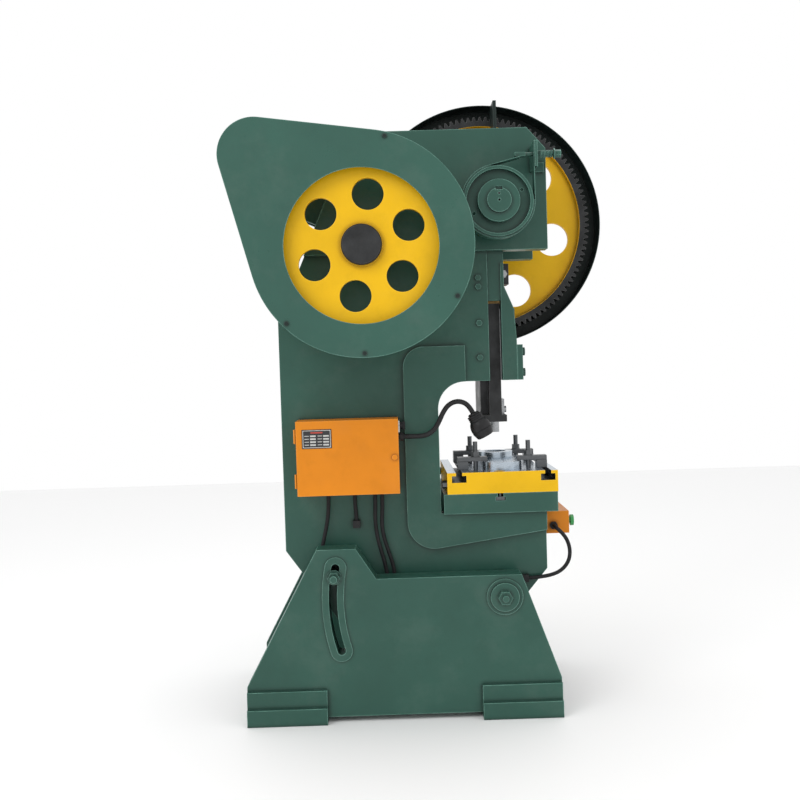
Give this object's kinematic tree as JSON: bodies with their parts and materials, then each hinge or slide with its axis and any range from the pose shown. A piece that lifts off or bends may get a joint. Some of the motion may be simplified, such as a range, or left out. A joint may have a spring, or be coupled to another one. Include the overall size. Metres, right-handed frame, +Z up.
{
  "type": "mechanical stamping press",
  "caption": "Open-back inclinable stamping press: C-frame on two cast legs, crank and slide, bull gear in a ring guard, spoked flywheel, motor, bolster, die and hand controls.",
  "frame": {"origin": "centre of the four anchor bolt holes, on the floor", "axes": "+X to the operator's side (press front), +Y to the bull gear's side, +Z up"},
  "size_m": [1.3556, 0.927, 2.134],
  "materials": {
    "green_paint": "semi-gloss enamel over cast iron, worn at the edges",
    "yellow_paint": "semi-gloss enamel, grease marked",
    "orange_paint": "semi-gloss enamel on sheet steel",
    "dark_guard": "satin, near black",
    "dark_iron": "oiled, machined and cast faces",
    "bare_steel": "machined, oiled",
    "tool_steel": "ground",
    "bronze": "bored",
    "black_rubber": "matt",
    "plate_aluminium": "satin plate",
    "black_plastic": "moulded",
    "green_button": "moulded",
    "red_button": "moulded"
  },
  "bodies": {
    "stand": {"left_leg": "green_paint", "right_leg": "green_paint", "tie_bars": "bare_steel", "pivot_pins": "bare_steel"},
    "press_frame": {"frame": "green_paint", "crank_bushes": "bronze", "drive_bearings": "bronze", "tilt_lock_bolts": "bare_steel", "slide_gibs": "bare_steel", "guide_bolts": "bare_steel", "front_tie_plate": "green_paint", "brake_band": "dark_iron", "brake_anchor": "green_paint", "brake_tension_rod": "bare_steel", "motor": "green_paint", "motor_bracket": "green_paint", "v_belts": "black_rubber", "belt_guard": "green_paint", "guard_supports": "dark_guard", "gear_guard": "dark_guard", "bolster": "yellow_paint", "tooling_bolts": "tool_steel", "die_set": "tool_steel", "strap_clamps": "tool_steel", "switch_cabinet": "orange_paint", "cover_plates": "plate_aluminium", "cable_glands": "black_plastic", "rear_cable": "black_rubber", "middle_cable": "black_rubber", "long_cable": "black_rubber", "short_cable": "black_rubber", "panel_cable": "black_rubber", "control_box": "orange_paint"},
    "crank": {"crankshaft": "bare_steel", "brake_drum": "dark_iron", "crank_end_fittings": "bare_steel"},
    "rod": {"connecting_rod": "dark_iron", "rod_cap": "dark_iron", "rod_bolts": "bare_steel", "rod_shells": "bronze", "adjusting_screw": "bare_steel"},
    "slide": {"slide": "dark_iron", "shank_clamp": "bare_steel", "shank_sleeve": "bare_steel", "slide_bolts": "bare_steel", "ball_socket": "bronze"},
    "gear": {"bull_gear": "yellow_paint"},
    "drive": {"flywheel": "yellow_paint", "flywheel_cap": "dark_iron", "drive_shaft": "bare_steel", "drive_pinion": "dark_iron"},
    "rotor": {"motor_pulley": "dark_iron"},
    "door": {"cabinet_door": "orange_paint", "rating_plate": "plate_aluminium"},
    "isolator": {"isolator_knob": "black_plastic"},
    "lamp": {"gooseneck": "black_plastic", "lamp_shade": "black_plastic"},
    "left_start": {"left_start_button": "green_button"},
    "right_start": {"right_start_button": "green_button"},
    "stop": {"stop_button": "red_button"}
  },
  "joints": [
    {"name": "body_tilt", "type": "hinge", "parent": "stand", "child": "press_frame", "pos_m": [0.337, 0, 0.398], "axis": [0, -1, 0], "range_deg": [0, 16]},
    {"name": "crank_turn", "type": "hinge", "parent": "press_frame", "child": "crank", "pos_m": [0.348, 0, 1.684], "axis": [0, -1, 0], "range_deg": [0, 180]},
    {"name": "rod_swing", "type": "hinge", "parent": "crank", "child": "rod", "pos_m": [0.348, 0, 1.7165], "axis": [0, -1, 0], "range_deg": [-180, 0]},
    {"name": "slide_stroke", "type": "slide", "parent": "press_frame", "child": "slide", "axis": [0, 0, 1], "range_m": [-0.065, 0]},
    {"name": "flywheel_spin", "type": "hinge", "parent": "press_frame", "child": "drive", "pos_m": [-0.09311, 0, 1.54661], "axis": [0, -1, 0], "continuous": true},
    {"name": "gear_spin", "type": "hinge", "parent": "press_frame", "child": "gear", "pos_m": [0.348, 0, 1.684], "axis": [0, -1, 0], "continuous": true},
    {"name": "motor_spin", "type": "hinge", "parent": "press_frame", "child": "rotor", "pos_m": [-0.415, 0, 1.831], "axis": [0, -1, 0], "continuous": true},
    {"name": "door_swing", "type": "hinge", "parent": "press_frame", "child": "door", "pos_m": [-0.335, -0.322, 0.87], "axis": [0, 0, -1], "range_deg": [0, 110]},
    {"name": "isolator_turn", "type": "hinge", "parent": "press_frame", "child": "isolator", "pos_m": [0.015, -0.244, 0.966], "axis": [1, 0, 0], "range_deg": [0, 90]},
    {"name": "lamp_swing", "type": "hinge", "parent": "press_frame", "child": "lamp", "pos_m": [0.03, -0.265, 0.93], "axis": [1, 0, 0], "range_deg": [0, 40]},
    {"name": "left_start_push", "type": "slide", "parent": "press_frame", "child": "left_start", "axis": [-1, 0, 0], "range_m": [0, 0.006], "stiffness_N_per_m": 600},
    {"name": "right_start_push", "type": "slide", "parent": "press_frame", "child": "right_start", "axis": [-1, 0, 0], "range_m": [0, 0.006], "stiffness_N_per_m": 600},
    {"name": "stop_push", "type": "slide", "parent": "press_frame", "child": "stop", "axis": [-1, 0, 0], "range_m": [0, 0.006], "stiffness_N_per_m": 600}
  ],
  "couplings": [
    {"joint": "rod_swing", "follows": "crank_turn", "ratio": -1},
    {"joint": "slide_stroke", "follows": "crank_turn", "m_per_rad": -0.02069},
    {"joint": "gear_spin", "follows": "flywheel_spin", "ratio": -0.14783},
    {"joint": "motor_spin", "follows": "flywheel_spin", "ratio": 3.8554}
  ]
}
